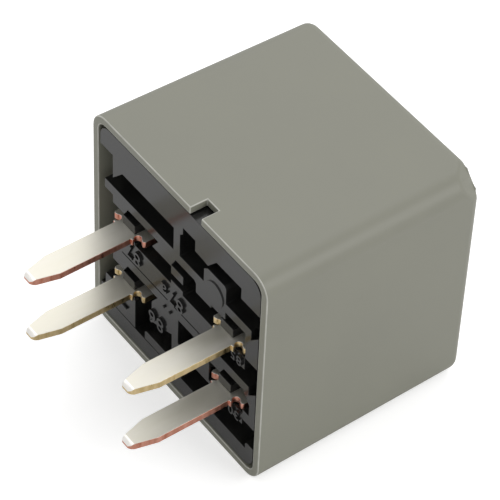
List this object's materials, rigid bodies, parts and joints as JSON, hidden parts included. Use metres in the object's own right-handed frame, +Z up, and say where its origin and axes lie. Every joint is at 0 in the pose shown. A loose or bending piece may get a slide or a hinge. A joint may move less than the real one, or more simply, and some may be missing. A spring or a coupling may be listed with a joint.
{
  "type": "automotive relay",
  "caption": "Small plug-in relay: box-shaped grey cover, black moulded base and flat blade terminals, with coil, yoke and rocking armature inside.",
  "frame": {"origin": "middle of the long side that the relay lies on, halfway along the cover's depth", "axes": "-Y out of the base along the blades, +Y to the closed end of the cover, +Z up through the side whose rim has the notch, +X to the right seen from the blades"},
  "size_m": [0.0286, 0.0373, 0.0285],
  "materials": {
    "cover_plastic": "satin moulded plastic, light grey",
    "base_plastic": "moulded glass-filled plastic, black",
    "tinned_terminal": "tin-plated strip with bare sheared edges",
    "bobbin_plastic": "moulded plastic, black",
    "copper_wire": "enamelled copper wire",
    "plated_iron": "zinc-plated soft iron",
    "bronze_leaf": "phosphor bronze strip",
    "contact_silver": "silver alloy",
    "rivet_steel": "plated steel"
  },
  "bodies": {
    "housing": {"cover": "cover_plastic", "base": "base_plastic", "terminal_87": "tinned_terminal", "terminal_30": "tinned_terminal", "terminal_86": "tinned_terminal", "terminal_85": "tinned_terminal", "bobbin": "bobbin_plastic", "coil_winding": "copper_wire", "core": "plated_iron", "yoke": "plated_iron", "fixed_contact": "contact_silver", "rest_stop": "bronze_leaf", "yoke_rivets": "rivet_steel", "terminal_rivet": "rivet_steel", "coil_pin_86": "tinned_terminal", "coil_pin_85": "tinned_terminal", "coil_lead_86": "copper_wire", "coil_lead_85": "copper_wire"},
    "armature": {"armature": "plated_iron", "contact_spring": "bronze_leaf", "moving_contact": "contact_silver", "armature_rivets": "rivet_steel"}
  },
  "joints": [
    {"name": "armature_hinge", "type": "hinge", "parent": "housing", "child": "armature", "pos_m": [0.01075, 0.00653, 0.014], "axis": [0, 0, 1], "range_deg": [0, 2.9], "stiffness_Nm_per_rad": 0.05, "springref_deg": -6.88, "deforming": ["contact_spring"]}
  ]
}
